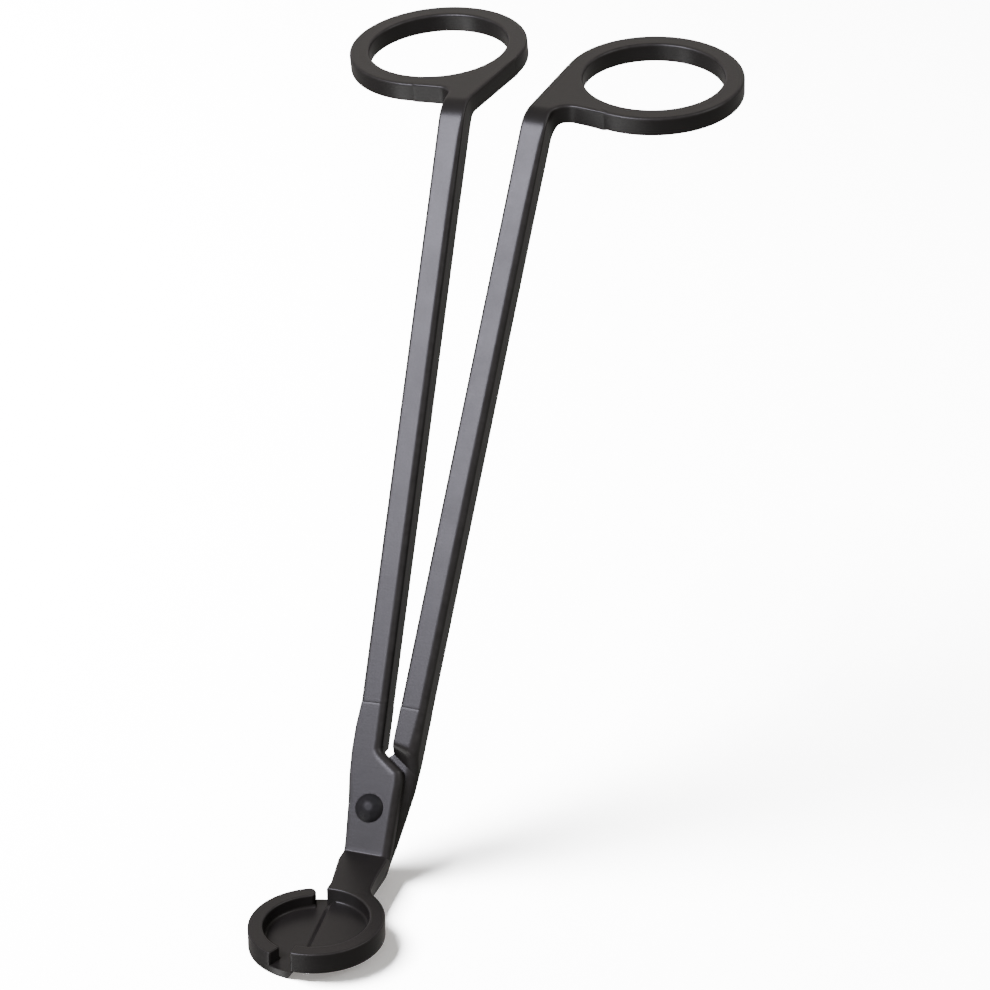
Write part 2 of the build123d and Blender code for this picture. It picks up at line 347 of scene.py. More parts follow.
def add_piece(name, tubes, body, nodes, material):
    """A piece from closed tubes, each (points, wear, closed): rows of loops of points.

    Neighbouring loops are joined by quads. A tube that isn't closed on itself gets a cap at
    each end. The wear of each point is kept in an attribute for the coating, which paints
    edges paler: partly worn coating, partly a painted highlight.
    """
    places, faces, wear_and_sheen_parts = [], [], []
    offset = 0
    for points, wear, closed in tubes:
        rows, columns = points.shape[:2]
        index = offset + np.arange(rows * columns).reshape(rows, columns)
        here = index if closed else index[:-1]
        there = np.roll(index, -1, axis=0) if closed else index[1:]
        quads = (here, np.roll(here, -1, axis=1), np.roll(there, -1, axis=1), there)
        faces += np.stack(quads, axis=-1).reshape(-1, 4).tolist()
        if not closed:
            faces += cap_strips(index[0]) + cap_strips(index[-1])
        places.append(points.reshape(-1, 3))
        wear_and_sheen_parts.append(np.broadcast_to(wear, (rows, columns)).ravel())
        offset += rows * columns
    mesh = bpy.data.meshes.new(name)
    mesh.from_pydata(np.concatenate(places).tolist(), [], faces)
    shape = bmesh.new()
    shape.from_mesh(mesh)
    bmesh.ops.recalc_face_normals(shape, faces=shape.faces)
    shape.to_mesh(mesh)
    shape.free()
    mesh.polygons.foreach_set("use_smooth", np.ones(len(mesh.polygons), dtype=bool))
    mesh.set_sharp_from_angle(angle=math.radians(32))
    # Attribute that paints edges paler in the coating: partly worn coating, partly a painted
    # highlight.
    mesh.attributes.new("wear", "FLOAT", "POINT").data.foreach_set(
        "value", np.concatenate(wear_and_sheen_parts).astype(np.float32))
    piece = new_object(name, mesh)
    even = piece.modifiers.new("Even shading", "WEIGHTED_NORMAL")
    even.keep_sharp = True
    mesh.materials.append(material)
    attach(piece, body)
    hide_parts(*nodes)
    return piece


# ---- handles ----
def bend_depths(t, sizes, turn):
    """Depths of a handle's upper and lower faces under the ring's plane, at a distance t past
    the top bend's corner.

    The shaft falls away at the bend's angle, the plate lies level, and a circle joins them on
    each face: depth = centre - sqrt(radius^2 - (t - middle)^2).
    """
    slope = math.tan(turn)
    inner = (sizes.bar_thickness - sizes.ring_thickness * math.cos(turn)) / math.sin(turn)
    faces = []
    for corner, depth, radius in ((0.0, 0.0, sizes.bend_radius),
                                  (inner, sizes.ring_thickness, sizes.bend_inside)):
        middle = corner + radius * math.tan(turn / 2)
        start = middle - radius * math.sin(turn)
        arc = depth + radius - np.sqrt(np.clip(radius ** 2 - (t - middle) ** 2, 0.0, None))
        line = depth + slope * (corner - t)
        faces.append(np.where(t > middle, depth, np.where(t < start, line, arc)))
    return faces


def handle_bar(sizes, bar_x, ring, left_web, right_web, arc):
    """The shaft, its top bend and the web that runs onto the finger ring.

    Rows run square to the shaft, shear until they stand square to the ring's plane, and then fan
    out between the web's two outlines. The last row bows along a circle about the ring's centre,
    whose radius is arc.
    """
    turn = top_turn(sizes)
    half_w, half_t = sizes.bar_width / 2, sizes.bar_thickness / 2
    shear_from, shear_to, fan_from = 105.0 * MM, 118.0 * MM, 3.0 * MM
    shaft_rows, shear_rows, level_rows, fans, fade_rows = 12, 9, 22, 18, 8
    s = np.concatenate(([sizes.weld, sizes.weld + GROOVE],
                        np.linspace(sizes.weld + 4 * GROOVE, shear_from, shaft_rows),
                        np.linspace(shear_from, shear_to, shear_rows)[1:]))
    inset = np.zeros(len(s))
    inset[0] = sizes.weld_groove
    sheared = np.clip((s - shear_from) / (shear_to - shear_from), 0.0, 1.0)
    lag = sizes.bar_thickness * math.tan(turn) * sheared
    ends = {}
    for side, x in (("left", bar_x - half_w), ("right", bar_x + half_w)):
        ends["top", side] = [np.stack(np.broadcast_arrays(x, s, half_t), axis=1)]
        ends["low", side] = [np.stack(np.broadcast_arrays(x, s - lag, -half_t), axis=1)]

    first = (shear_to - sizes.bend_height) * math.cos(turn)
    rows = np.linspace(first, fan_from, level_rows)[1:]
    plan = {}
    for side, web in (("left", left_web), ("right", right_web)):
        web = web + ring
        start = np.stack((np.interp(rows, web[:, 1], web[:, 0]), rows), axis=1)
        rest = np.concatenate((start[-1:], web[np.argmax(web[:, 1] > fan_from):]))
        plan[side] = np.concatenate((start, spaced(rest, fans + 1)[1:]))
        x, t = plan[side].T
        for face, depth in zip(("top", "low"), bend_depths(t, sizes, turn)):
            depth = depth + (OVERLAP if face == "low" else -OVERLAP) * (t > fan_from)
            place = (x, sizes.bend_height + t * math.cos(turn) - depth * math.sin(turn),
                     half_t - t * math.sin(turn) - depth * math.cos(turn))
            ends[face, side].append(np.stack(place, axis=1))

    middle = (plan["left"][-1] + plan["right"][-1]) / 2 - ring
    away = middle / np.linalg.norm(middle) * (arc - np.linalg.norm(middle))
    share = np.concatenate((np.zeros(len(s) + len(rows)), np.linspace(0, 1, fans + 1)[1:] ** 2))
    bow = np.stack((away[0], away[1] * math.cos(turn), -away[1] * math.sin(turn)))
    edges = [np.concatenate(ends[face, side])
             for face in ("top", "low") for side in ("left", "right")]
    inset = np.concatenate((inset, np.zeros(len(rows) + fans)))
    worn = np.interp(
        np.arange(len(inset)), [0, len(s), len(s) + fade_rows],
        [sizes.worn_edge, sizes.worn_edge * sizes.bend_share, sizes.arm_edge])[:, None]
    return bar_loops(*edges, (sizes.arm_edge, worn), sizes.arm_edge * 0.8, inset,
                     share[:, None] * bow)


def finger_ring(sizes, ring, bore):
    """A finger ring: a rounded rectangle carried round a circle in the ring's plane."""
    turn = top_turn(sizes)
    swing = np.linspace(0, 2 * math.pi, 144, endpoint=False)
    edges = []
    for depth in (0.0, sizes.ring_thickness):
        for radius in (bore, sizes.ring_radius):
            x, t = ring[0] + radius * np.cos(swing), ring[1] + radius * np.sin(swing)
            s = sizes.bend_height + t * math.cos(turn) - depth * math.sin(turn)
            w = sizes.bar_thickness / 2 - t * math.sin(turn) - depth * math.cos(turn)
            edges.append(np.stack((x, s, w), axis=1))
    return bar_loops(*edges, (sizes.arm_edge, sizes.arm_edge), sizes.arm_edge)


def ring_place(sizes, mount, lean):
    """A ring's centre in its arm's own plan, (sideways, past the bend), from its mount."""
    turn = top_turn(sizes)
    centre = np.array(mount["pos_m"]) + np.array(mount["axis"]) * MOUNT_DEPTH - PIVOT
    x, s = turned(centre @ SIDE, centre @ UP, -lean)
    w = centre @ NORMAL
    return np.array((x, (s - sizes.bend_height) * math.cos(turn)
                     - (w - sizes.bar_thickness / 2) * math.sin(turn)))


def leaned(loops, lean):
    """Loops in an arm's own (x, s, w), turned about the rivet and put in the world."""
    points, wear = loops
    x, s = turned(points[..., 0], points[..., 1], lean)
    return arm_place(x, s, points[..., 2]), wear


def web_tip(degrees):
    """A web outline's end inside the ring's rim, in millimetres about its centre."""
    reach, turn = 15.6, math.radians(degrees)
    return reach * math.cos(turn), reach * math.sin(turn)


def front_web():
    """The front web's two outlines about its ring, from the bar's sides to the ring's rim."""
    return (rounded_line([(7.5, -40.0), (7.5, -16.4), (0.0, -16.1), web_tip(-92.0)], (2.2, 0)),
            rounded_line([(12.1, -40.0), (12.1, -19.5), (15.86, -2.8), (15.45, -1.6)],
                         (15.0, 0)))


def back_web():
    """The back web's two outlines about its ring, from the bar's sides to the ring's rim."""
    return (rounded_line([(-17.7, -40.0), (-17.7, -19.0), (-16.1, 0.0), (-15.6, 0.6)],
                         (20.0, 0)),
            rounded_line([(-13.1, -40.0), (-13.1, -14.3), (-4.0, -15.6), web_tip(259.0)],
                         (3.2, 0)))


def make_handle(sizes, arm, bar_x, lean, web):
    """One arm's handle: shaft, top bend, web and finger ring."""
    body = arm + "_arm"
    mount = MOUNTS[arm + "_finger_ring"]
    ring = ring_place(sizes, mount, lean)
    bore = mount["dims"]["r_mm"] * MM
    bar = handle_bar(sizes, bar_x, ring, *web, (bore + sizes.ring_radius) / 2)
    tubes = [leaned(bar, lean) + (False,), leaned(finger_ring(sizes, ring, bore), lean) + (True,)]
    add_piece(arm + "_handle" + COATED, tubes, body, [arm + "_shaft", arm + "_ring"],
              coating())


# ---- arms below the weld ----
def face_normal(swing):
    """The side-view direction square to a plate as it turns from the shaft to level."""
    return np.stack((-np.sin(TILT - swing), np.cos(TILT - swing)), axis=-1)


def side_bend(w, level, radius):
    """World (y, z) of a face that comes down the shaft at height w and turns level.

    The arc's points are its centre less the radius times the turning normal. Returns them and the
    distance up the shaft at which the arc starts.
    """
    corner = (level - PIVOT[2] - w * math.cos(TILT)) / math.sin(TILT)
    start = corner + radius * math.tan(TILT / 2)
    swing = np.linspace(0.0, TILT, BEND_ROWS)
    centre = arm_place(0.0, start, w + radius)[1:]
    return centre - radius * face_normal(swing), start


def bend_ends(faces):
    """World y at which each face's bend ends and the neck begins."""
    return [side_bend(*face)[0][-1][0] for face in faces]


def plate_rows(sizes, lean, side, lap, shoulder, last):
    """Turns and levels of the rows from the weld down to the neck's bend.

    Rows start square to the shaft, follow the half-lap's facet, and end square to the bend. lap
    gives the facet's foot, its top edge and how far the top edge turns.
    """
    lap_foot, lap_top, top_skew = lap
    weld = sizes.weld
    levels = np.concatenate(([weld, weld - GROOVE, weld - 4 * GROOVE],
                             np.linspace(weld - 10 * GROOVE, lap_top, STUB_ROWS),
                             np.linspace(lap_top, lap_foot, FACET_ROWS)[1:],
                             np.linspace(lap_foot, shoulder, 15)[1:],
                             np.linspace(shoulder, SQUARE_LEVEL, 9)[1:],
                             np.linspace(SQUARE_LEVEL, last, 5)[1:]))
    foot, top = (lean - side * skew for skew in (sizes.lap_skew, top_skew))
    turns = np.interp(levels, [SQUARE_LEVEL, shoulder, lap_foot, lap_top, weld],
                      [0.0, foot, foot, top, lean])
    turns[:3] = lean
    return turns, levels


def arm_bar(sizes, lean, side, lap, outlines, shoulder, faces, neck):
    """An arm from its weld to the tray: shaft stub, half-lap, pivot plate, bend and neck.

    side is +1 where the stub rises above the lap plane and -1 where it hangs below. faces gives
    (height off the lap plane, level, bend radius) of the near and far faces, and neck the plan
    points and heights of the rows after the bend.
    """
    half_t = sizes.bar_thickness / 2
    bends = [side_bend(*face) for face in faces]
    starts = [start for _, start in bends]
    turns, levels = plate_rows(sizes, lean, side, lap, shoulder, starts[0])
    share, eased = (levels - lap[0]) / (lap[1] - lap[0]), sizes.lap_round
    share = 1 - np.clip(share, 0.0, 1.0)
    drop = np.where(share < eased, share ** 2 / (2 * eased), share - eased / 2)
    lift = 1 - drop / (1 - eased / 2)
    near, far = faces[0][0], faces[1][0]
    heights = {0: near + (half_t - near) * lift * (side > 0),
               1: far + (-half_t - far) * lift * (side < 0)}
    lag = np.interp(levels, [starts[0], SQUARE_LEVEL], [starts[0] - starts[1], 0.0])
    edges = []
    for k in (0, 1):
        for j, line in enumerate(outlines):
            line = np.stack(turned(*line.T, lean), axis=1)
            rows = zip(turns, levels - lag if k else levels)
            plan = np.array([crossing(line, *row) for row in rows])
            plate = arm_place(plan[:, 0], plan[:, 1], heights[k])
            first, after = plan[-1, 0], neck[j][0][k]
            x = np.linspace(first, after, BEND_ROWS)[1:]
            bend = np.concatenate((PIVOT[:1] + x[:, None], bends[k][0][1:]), axis=1)
            edges.append(np.concatenate((plate, bend, tray_place(*neck[j][1 + k].T))))
    inset = np.zeros(len(edges[0]))
    inset[0] = sizes.weld_groove
    plate_share = sizes.back_share if side > 0 else 1.0
    worn = sizes.worn_edge * np.interp(
        np.arange(len(inset)),
        [2, STUB_ROWS + FACET_ROWS, len(levels), len(levels) + BEND_ROWS],
        [1.0, plate_share, plate_share, sizes.neck_share])[:, None]
    return bar_loops(*edges, (sizes.plate_edge, worn), sizes.plate_edge * 0.7, inset)


def neck_plan(bends, left, right, heights, square):
    """Rows of a neck in plan, as (edge line, near face's edge, far face's edge) for each side.

    Down to the level square its rows run straight across, and beyond it they divide both sides
    equally. Each face starts where its own bend ends and joins the common rows over a few rows.
    """
    start = min(bends)
    straight_rows, rest_rows, joining_rows = 12, 13, 4
    rows = np.linspace(start, square, straight_rows)[1:]
    result = []
    for line in (left, right):
        line = line[np.argsort(-line[:, 1], kind="stable")]
        x = np.interp(rows, line[::-1, 1], line[::-1, 0])
        straight = np.stack((x, rows), axis=1)
        rest = np.concatenate((straight[-1:], line[line[:, 1] < square]))
        plan = straight
        if len(rest) > 1:
            plan = np.concatenate((straight, spaced(rest, rest_rows)[1:]))
        edges = []
        for bend, z in zip(bends, heights):
            fade = np.clip(1 - np.arange(len(plan)) / joining_rows, 0.0, 1.0)
            y = plan[:, 1] + (bend - start) * fade
            z = np.broadcast_to(z, y.shape)
            edges.append(np.stack((plan[:, 0], y, z), axis=1))
        result.append((np.interp(bends, line[::-1, 1], line[::-1, 0]), *edges))
    return result


# ---- tray halves ----
def rim_bar(sizes, inner, outer, low, top, starts, stops, blunt=0.0):
    """A wall of the tray: a rounded rectangle carried round the tray's axis.

    starts and stops give the end angles at the inner and outer radius. Both ends are rounded by
    rows that draw in along a quarter circle. A blunt start also narrows in plan, each side by
    narrowing * blunt * (1 - sqrt(1 - (1 - distance / blunt)^2)).
    """
    rows, end_rows, blunt_rows = 90, 5, 6
    near, narrowing, first_row = 0.0, 0.9, 0.4
    off, inset = eased_ends(end_rows, sizes.rim_edge)
    edges = []
    for z in (top, low):
        for radius, start, stop in zip((inner, outer), starts, stops):
            swing = np.concatenate((start + off / outer,
                                    np.linspace(start, stop, rows + 2)[1:-1],
                                    (stop - off / outer)[::-1]))
            if blunt:
                shares = np.linspace(first_row, 1.0, blunt_rows + 1)[:-1]
                swing[end_rows:end_rows + blunt_rows] = start + shares * blunt / outer
                short = np.clip(1 - (swing - start) * outer / blunt, 0.0, 1.0)
                inward = narrowing if radius == outer else -narrowing
                near = blunt * (1 - np.sqrt(1 - short ** 2)) * inward
            radius = radius - near
            edges.append(tray_place(radius * np.cos(swing), radius * np.sin(swing), z))
    inset = np.concatenate((inset, np.zeros(rows), inset[::-1]))
    return bar_loops(*edges, (sizes.rim_edge, sizes.rim_edge), sizes.rim_edge * 0.5, inset)


def cove_bar(sizes, inner, z, start, stop):
    """The fillet between a floor and its wall: a concave quarter circle carried round.

    Its back lies a little inside the wall and the floor.
    """
    r, rows = sizes.cove, 80
    in_wall, in_floor = inner + 0.2 * MM, z - 0.1 * MM
    swing = np.linspace(start, stop, rows)[:, None]
    radius = np.concatenate((inner - r * (1 - np.cos(CORNER)), [inner - r, in_wall, in_wall]))
    height = np.concatenate((z + r * (1 - np.sin(CORNER)), [in_floor, in_floor, z + r]))
    return tray_place(radius * np.cos(swing), radius * np.sin(swing), height + 0 * swing), 0.0


def floor_plate(sizes, cut, radius, low, top, outward, bevel_above):
    """Half of the tray's floor, ground to an edge along its cut.

    Rows run across at y = radius * sin(angle), from the cutting edge to the circle. The section
    has an upright land at the edge and a straight bevel behind it.
    """
    last_row, rows = 86.0, 70
    far_side, bevel_share, behind_bevel = 0.98, 0.85, 1.15
    aside, down = 0.02 * MM, 0.05 * MM
    y = radius * np.sin(np.radians(np.linspace(-last_row, last_row, rows)))
    outer = outward * np.sqrt(radius ** 2 - y ** 2)
    edge = np.interp(y, cut[:, 1], cut[:, 0])
    edge = np.where(np.abs(edge) > np.abs(outer), -outer * far_side, edge)
    width = np.abs(outer - edge)
    bevel = np.minimum(sizes.bevel_width, bevel_share * width)
    zero = 0 * width
    across = np.stack((zero, zero, bevel, bevel * behind_bevel, width - aside, width, width,
                       width - aside, bevel, zero + aside), axis=1)
    land, thick = sizes.edge_land, top - low
    height = np.array((aside, land, thick, thick, thick, thick - down, down, 0.0, 0.0, 0.0))
    z = low + height if bevel_above else top - height
    # Painted highlight: the bevel's top ridge gets some wear, so the coating paints a paler line
    # along it.
    wear = np.array((0.0, 0.0, 0.3, 0.0, 0.0, 0.0, 0.0, 0.0, 0.0, 0.0))
    return tray_place(edge[:, None] + outward * across, y[:, None], z), wear


def add_blade(name, body, shapes):
    """A blade's piece from its open tubes."""
    add_piece(name + COATED, [shape + (False,) for shape in shapes], body, [name],
              coating())


def make_upper_blade(sizes):
    """Pivot plate, neck and the tray half that lies on top, with its floor's cutting edge."""
    lean = sizes.front_lean
    lift = sizes.lower_floor + sizes.blade_gap
    top = lift + sizes.wall_height
    inner = sizes.tray_radius - sizes.rim_width
    left = rounded_line([(-4.0, 19.0), (-4.0, 18.0), (-4.45, 13.8), (-4.6, 9.5), (-4.45, 5.2),
                         (-4.0, 1.0), (-3.6, -6.0), (-3.6, -14.0)], (0, 0, 0, 0, 0, 0, 0))
    right = rounded_line([(0.6, 19.0), (0.6, 10.0), (5.0, 6.6), (4.75, -1.0), (4.3, -14.0)],
                         (1.5, 1.5, 0))
    near, far = sizes.bar_thickness / 2, sizes.lap_gap / 2
    near_bend, far_bend, shoulder, square = 0.4 * MM, 1.5 * MM, 3.2 * MM, 11.8 * MM
    levels = (top + OVERLAP, top - sizes.upper_neck)
    faces = ((near, levels[0], near_bend), (far, levels[1], far_bend))
    neck_left = rounded_line([(-3.15, 24.0), (-3.15, 18.5), (-1.61, 11.0), (-1.61, 9.2)],
                             (2.0, 2.0))
    centre, toward, flare_radius = np.array((9.508, 12.241)), np.array((-0.9925, -0.1222)), 4.0
    aside = np.array((-toward[1], toward[0]))
    swing = np.linspace(0.0, math.radians(47.2), 10)[:, None]
    flare = (centre + flare_radius * (toward * np.cos(swing) + aside * np.sin(swing))) * MM
    neck_right = np.concatenate((np.array([(4.85, 24.0), (5.2, 14.5)]) * MM, flare,
                                 np.array([(6.75, 8.75)]) * MM))
    neck = neck_plan(bend_ends(faces), neck_left, neck_right, levels, square)
    lap = (sizes.front_lap_foot, sizes.front_lap_top, sizes.front_lap_skew)
    arm = arm_bar(sizes, lean, -1, lap, (left, right), shoulder, faces, neck)
    front_x, back_x = -0.2 * MM, -1.6 * MM
    ends = [(-math.acos(front_x / r), math.acos(back_x / r)) for r in (inner, sizes.tray_radius)]
    rim = rim_bar(sizes, inner, sizes.tray_radius, lift, top, *zip(*ends))
    cut = np.array([(0.62, -12.0), (0.55, -11.4), (-1.5, 7.4), (-1.6, 12.0)]) * MM
    under_rim, floor_top = 0.7 * MM, lift + sizes.upper_floor
    plate = floor_plate(sizes, cut, inner + under_rim, lift + OVERLAP / 2, floor_top, 1, True)
    cove = cove_bar(sizes, inner, floor_top, math.radians(-79.0), math.radians(89.0))
    add_blade("upper_blade", "front_arm", (arm, rim, plate, cove))


def make_lower_blade(sizes):
    """Pivot plate, neck and the tray half that lies underneath, with its own cutting edge."""
    lean = sizes.back_lean
    inner = sizes.tray_radius - sizes.rim_width
    left = rounded_line([(1.7, 19.0), (1.7, 10.0), (-3.6, 6.4), (-3.4, -3.0), (-2.6, -14.0)],
                        (1.5, 1.5, 0))
    right = rounded_line([(6.3, 19.0), (6.3, 9.0), (6.1, 4.2), (5.55, -0.5), (4.85, -5.8),
                          (3.9, -11.0), (3.5, -14.0)], (0, 0, 0, 0, 0))
    near, far = -sizes.lap_gap / 2, -sizes.bar_thickness / 2
    near_bend, far_bend, shoulder, square = 0.2 * MM, 2.5 * MM, 3.8 * MM, 13.0 * MM
    levels = (sizes.lower_neck, 0.0)
    faces = ((near, levels[0], near_bend), (far, levels[1], far_bend))
    neck_left = rounded_line([(-2.6, 26.0), (-2.6, 21.0), (-1.6, 12.4), (-1.6, 8.0)], (0, 0))
    neck_right = rounded_line([(3.9, 26.0), (4.0, 12.4), (2.2, 8.0)], (0,))
    neck = neck_plan(bend_ends(faces), neck_left, neck_right, levels, square)
    for _, upper, _ in neck:
        upper[:, 2] = np.where(upper[:, 1] < sizes.neck_step, sizes.lower_floor - OVERLAP,
                               sizes.lower_neck)
    lap = (sizes.back_lap_foot, sizes.back_lap_top, sizes.back_lap_skew)
    arm = arm_bar(sizes, lean, 1, lap, (left, right), shoulder, faces, neck)
    ends = [(math.radians(111.5), math.radians(248.5))] * 2
    outer, blunt = sizes.tray_radius - OVERLAP, 1.3 * MM
    rim = rim_bar(sizes, inner, outer, OVERLAP / 2, sizes.wall_height, *zip(*ends), blunt)
    cut = np.array([(0.09, -12.0), (0.15, -11.4), (2.0, 7.4), (2.45, 12.0)]) * MM
    plate = floor_plate(sizes, cut, sizes.tray_radius, 0.0, sizes.lower_floor, -1, False)
    cove = cove_bar(sizes, inner, sizes.lower_floor, math.radians(112.5), math.radians(247.5))
    add_blade("lower_blade", "back_arm", (arm, rim, plate, cove))


# ---- rivet ----
def make_rivet(sizes):
    """The rivet, turned about the pivot axis: a domed head, a shank and a peened tail.

    Each dome is part of a sphere of radius (r^2 + h^2) / 2h. Hammer marks flatten the head: a
    point beyond a mark's plane moves back onto it along the mark's own direction.
    """
    half_t = sizes.bar_thickness / 2
    reach = half_t + sizes.head_gap
    tip, rows, step, columns = 0.01, 22, 0.05 * MM, 96
    profile = []
    for radius, rise, base, side in ((sizes.rivet_tail, sizes.tail_rise, -half_t, -1),
                                     (sizes.rivet_head, sizes.rivet_rise, reach, 1)):
        ball = (radius ** 2 + rise ** 2) / (2 * rise)
        swing = np.linspace(tip, math.asin(radius / ball), rows)
        height = base + side * (rise - ball + ball * np.cos(swing))
        dome = np.stack((ball * np.sin(swing), height), axis=1)
        foot = np.array([(radius - step, base), (sizes.rivet_shank, base)])
        profile.append(np.concatenate((dome, foot)))
    profile = np.concatenate((profile[0], profile[1][::-1]))
    swing = np.linspace(0, 2 * math.pi, columns, endpoint=False)
    radius, w = profile[:, :1], profile[:, 1:]
    points = np.stack(np.broadcast_arrays(radius * np.cos(swing), radius * np.sin(swing), w),
                      axis=-1)
    ball = (sizes.rivet_head ** 2 + sizes.rivet_rise ** 2) / (2 * sizes.rivet_rise)
    middle = np.array((0.0, 0.0, reach + sizes.rivet_rise - ball))
    rng = np.random.default_rng(7)
    ring_marks, turn, mark_share, above_foot = 8, 0.785, 0.982, 0.02 * MM
    marks = [(0.08, 0.4)] + [(0.50 + 0.10 * rng.random(), k * turn + 0.3 * rng.random())
                             for k in range(1, ring_marks + 1)]
    for lean, spin in marks:
        mark = np.array((math.sin(lean) * math.cos(spin), math.sin(lean) * math.sin(spin),
                         math.cos(lean)))
        beyond = (points - middle) @ mark - ball * mark_share
        head = points[..., 2] > reach + above_foot
        points = points - mark * (np.clip(beyond, 0.0, None) * head)[..., None]
    world = arm_place(*np.moveaxis(points, -1, 0))
    add_piece("rivet" + COATED, [(world, 0.0, False)], "back_arm", ["rivet"],
              rivet_coating())


# ---- finishes ----
def new_material(name):
    """An empty node material with a Principled shader, and short ways to add and join nodes."""
    material = bpy.data.materials.new(name)
    material.use_nodes = True
    tree = material.node_tree
    shader = tree.nodes["Principled BSDF"]

    def add(kind, **values):
        node = tree.nodes.new("ShaderNode" + kind)
        for key, value in values.items():
            if hasattr(node, key):
                setattr(node, key, value)
            else:
                node.inputs[key.replace("_", " ")].default_value = value
        return node

    def join(source, output, target, entry):
        tree.links.new(source.outputs[output], target.inputs[entry])

    return material, shader, add, join


def coat_nodes(name, finish, tint, roughness, grain, depth):
    """A sprayed and baked coating: sandy grain, soft cloudiness and paler edges, partly a painted
    highlight.

    Fine noise lifts the surface for the grain, a slower noise varies the roughness and the
    colour, thin noise stretched across the arms gives brush lines, and the wear attribute
    times a patchy noise pales the edges: partly bared coating, partly a painted highlight along
    rounded edges and bevel ridges.
    """
    material, shader, add, join = new_material(name)
    shader.inputs["IOR"].default_value = finish.gloss
    place = add("TexCoord")
    sand = add("TexNoise", Scale=grain, Detail=3.0, Roughness=0.6)
    cloud = add("TexNoise", Scale=grain / 30, Detail=4.0, Roughness=0.6)
    patch = add("TexNoise", Scale=grain / 6, Detail=2.0)
    stretch = add("Mapping", Scale=(90.0, 2600.0, 2600.0))
    lines = add("TexNoise", Scale=1.0, Detail=2.0)
    for node in (sand, cloud, patch):
        join(place, "Object", node, "Vector")
    join(place, "Object", stretch, "Vector")
    join(stretch, "Vector", lines, "Vector")

    # Painted highlight along edges, partly worn coating: the wear attribute times patchy noise
    # mixes in the paler edge colour.
    wear = add("Attribute", attribute_name="wear")
    bare_and_sheen = add("Math", operation="MULTIPLY")
    join(wear, "Fac", bare_and_sheen, 0)
    join(patch, "Fac", bare_and_sheen, 1)
    shade = add("MixRGB", Color1=(*tint, 1.0), Color2=(*finish.worn, 1.0))
    join(bare_and_sheen, "Value", shade, "Fac")
    tone = add("MapRange", To_Min=0.75, To_Max=1.25)
    join(cloud, "Fac", tone, "Value")
    mottled = add("VectorMath", operation="SCALE")
    join(shade, "Color", mottled, 0)
    join(tone, "Result", mottled, "Scale")
    join(mottled, "Vector", shader, "Base Color")

    gloss = add("MapRange", To_Min=roughness - 0.07, To_Max=roughness + 0.07)
    join(cloud, "Fac", gloss, "Value")
    speck = add("MapRange", To_Min=-0.06, To_Max=0.06)
    join(sand, "Fac", speck, "Value")
    total = add("Math", operation="ADD")
    join(gloss, "Result", total, 0)
    join(speck, "Result", total, 1)
    join(total, "Value", shader, "Roughness")

    mix = add("Math", operation="MULTIPLY_ADD")
    join(lines, "Fac", mix, 0)
    mix.inputs[1].default_value = 0.35
    join(sand, "Fac", mix, 2)
    bump = add("Bump", Strength=0.55, Distance=depth)
    join(mix, "Value", bump, "Height")
    join(bump, "Normal", shader, "Normal")
    return material


def coating():
    """The arms' satin black coating, made once."""
    finish = bpy.context.scene.trimmer_finish
    return bpy.data.materials.get("Satin black coating") or coat_nodes(
        "Satin black coating", finish, finish.coat, finish.roughness, finish.grain, 0.02 * MM)


def rivet_coating():
    """The rivet's coating: the same black, smoother and finer."""
    finish = bpy.context.scene.trimmer_finish
    material = coat_nodes("Rivet coating", finish, finish.rivet, finish.roughness + 0.12,
                          finish.grain * 1.3, 0.012 * MM)
    material.node_tree.nodes["Principled BSDF"].inputs["Specular IOR Level"].default_value = 0.3
    return material


# ---- stage ----
def soft_light(name, direction, distance, width, height, strength, target):
    """A rectangular soft light that faces the target from a direction."""
    light = bpy.data.lights.new(name, "AREA")
    light.shape, light.size, light.size_y = "RECTANGLE", width, height
    light.energy = strength
    lamp = new_object(name, light)
    direction = Vector(direction).normalized()
    lamp.location = Vector(target) + direction * distance
    lamp.rotation_euler = direction.to_track_quat("Z", "Y").to_euler()
    return lamp


